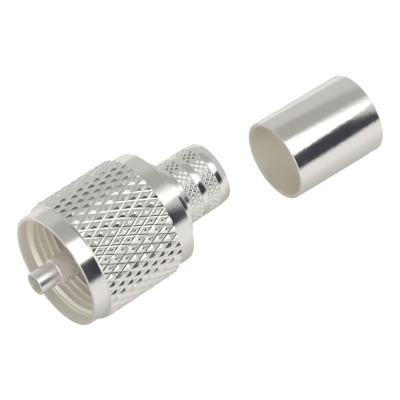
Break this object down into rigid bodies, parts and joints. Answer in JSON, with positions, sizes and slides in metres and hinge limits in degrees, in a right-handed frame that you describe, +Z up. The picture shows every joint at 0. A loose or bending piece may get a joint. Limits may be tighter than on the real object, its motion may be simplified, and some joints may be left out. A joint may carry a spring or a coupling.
{
  "type": "uhf crimp plug",
  "caption": "Coaxial UHF crimp plug: knurled coupling nut that spins on a flanged body, hollow centre pin, knurled crimp stem, and a separate crimp ferrule lying behind it.",
  "frame": {"origin": "on the plug's axis at the mating plane, where the shoulder of the shell meets the socket", "axes": "+X along the plug's axis from the mating end to the cable end, +Z up, with the nut and the ferrule lying on one surface below"},
  "size_m": [0.057, 0.0184, 0.0184],
  "materials": {
    "nut_plate": "bright silver plate over turned and knurled brass",
    "body_plate": "bright silver plate over turned and knurled brass",
    "pin_plate": "bright silver plate over turned brass",
    "insulator": "turned white fluoropolymer, slightly waxy",
    "ferrule_plate": "bright silver plate over annealed tube"
  },
  "bodies": {
    "plug_body": {"front_shell": "body_plate", "crimp_stem": "body_plate", "contact_pin": "pin_plate", "insulator": "insulator"},
    "nut": {"coupling_nut": "nut_plate"},
    "ferrule": {"crimp_ferrule": "ferrule_plate"}
  },
  "joints": [
    {"name": "nut_spin", "type": "hinge", "parent": "plug_body", "child": "nut", "pos_m": [0, 0, 0], "axis": [1, 0, 0], "continuous": true},
    {"name": "ferrule_lift", "type": "slide", "parent": "plug_body", "child": "ferrule", "axis": [0, 0, 1], "range_m": [0, 0.02]}
  ]
}
